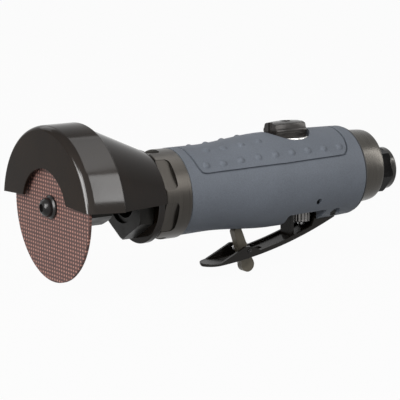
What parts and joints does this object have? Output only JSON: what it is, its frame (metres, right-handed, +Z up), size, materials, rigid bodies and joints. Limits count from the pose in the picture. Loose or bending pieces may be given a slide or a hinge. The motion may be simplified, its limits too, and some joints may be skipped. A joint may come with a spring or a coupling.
{
  "type": "pneumatic cut-off tool",
  "caption": "Hand-held air cut-off tool: abrasive wheel under a turning hood guard, vane motor in a composite grip, squeeze lever with lock, regulator knob and threaded air inlet",
  "frame": {"origin": "centre of the air inlet's mouth, on the axis of wheel and motor", "axes": "+X along the tool's axis out of the air inlet, away from the wheel; +Z up, through the regulator knob; the lever hangs below the grip"},
  "size_m": [0.214, 0.0874, 0.0879],
  "materials": {
    "abrasive": "woven abrasive, matte",
    "dark_steel": "blackened steel, satin",
    "black_steel": "black oxide, glossy",
    "steel": "ground steel",
    "bearing_steel": "polished steel",
    "brass": "turned brass",
    "vane": "phenolic laminate",
    "gunmetal": "gunmetal, satin turned",
    "black_paint": "gloss black",
    "composite": "fine-grained, matte blue grey",
    "felt": "felt",
    "black_lever": "semi-gloss black",
    "olive_zinc": "zinc, olive grey",
    "seal_rubber": "matte black"
  },
  "bodies": {
    "grip": {"housing": "composite", "nose_cap": "gunmetal", "clamp_collar": "gunmetal", "guard_nut": "gunmetal", "front_bearing_outer": "bearing_steel", "rear_bearing_outer": "bearing_steel", "front_end_plate": "steel", "motor_cylinder": "steel", "rear_end_plate": "steel", "cylinder_pin": "bearing_steel", "exhaust_ring": "gunmetal", "muffler_felt": "felt", "inlet_bushing": "black_steel", "inlet_screen": "bearing_steel", "lever_pin": "dark_steel", "valve_bush": "dark_steel", "bush_seal": "seal_rubber", "valve_cross_pin": "dark_steel", "valve_spring": "bearing_steel"},
    "rotor": {"cutoff_wheel": "abrasive", "wheel_screw": "dark_steel", "outer_flange": "dark_steel", "drive_arbor": "dark_steel", "rotor": "steel", "rotor_vanes": "vane", "front_bearing_inner": "bearing_steel", "rear_bearing_inner": "bearing_steel"},
    "front_cage": {"front_bearing_balls": "bearing_steel", "front_bearing_cage": "brass"},
    "rear_cage": {"rear_bearing_balls": "bearing_steel", "rear_bearing_cage": "brass"},
    "guard": {"guard": "black_paint"},
    "lever": {"throttle_lever": "black_lever", "lock_pin": "dark_steel", "lock_spring": "bearing_steel"},
    "lock": {"lock_lever": "olive_zinc"},
    "valve": {"valve_plunger": "dark_steel", "valve_poppet": "brass"},
    "knob": {"regulator_knob": "black_steel", "knob_screw": "dark_steel", "regulator_spool": "brass", "spool_seal": "seal_rubber"}
  },
  "joints": [
    {"name": "rotor_spin", "type": "hinge", "parent": "grip", "child": "rotor", "pos_m": [-0.1483, 0, 0], "axis": [1, 0, 0], "continuous": true},
    {"name": "front_cage_spin", "type": "hinge", "parent": "grip", "child": "front_cage", "pos_m": [-0.1473, 0, 0], "axis": [1, 0, 0], "continuous": true},
    {"name": "rear_cage_spin", "type": "hinge", "parent": "grip", "child": "rear_cage", "pos_m": [-0.0863, 0, 0], "axis": [1, 0, 0], "continuous": true},
    {"name": "guard_turn", "type": "hinge", "parent": "grip", "child": "guard", "pos_m": [-0.1583, 0, 0], "axis": [1, 0, 0], "range_deg": [-120, 120]},
    {"name": "lever_squeeze", "type": "hinge", "parent": "grip", "child": "lever", "pos_m": [-0.045, 0, -0.0184], "axis": [0, 1, 0], "range_deg": [0, 7], "stiffness_Nm_per_rad": 1.2, "springref_deg": -6.88},
    {"name": "lock_fold", "type": "hinge", "parent": "lever", "child": "lock", "pos_m": [-0.09531, 0, -0.0345], "axis": [0, 1, 0], "range_deg": [0, 99]},
    {"name": "valve_lift", "type": "slide", "parent": "grip", "child": "valve", "axis": [0, 0, 1], "range_m": [0, 0.0016], "deforming": ["valve_spring"]},
    {"name": "knob_turn", "type": "hinge", "parent": "grip", "child": "knob", "pos_m": [-0.0668, 0, 0.025], "axis": [0, 0, 1], "range_deg": [-45, 45]}
  ],
  "couplings": [
    {"joint": "front_cage_spin", "follows": "rotor_spin", "ratio": 0.3886},
    {"joint": "rear_cage_spin", "follows": "rotor_spin", "ratio": 0.3702},
    {"joint": "lock_fold", "follows": "lever_squeeze", "ratio": 14},
    {"joint": "valve_lift", "follows": "lever_squeeze", "m_per_rad": 0.0127}
  ]
}
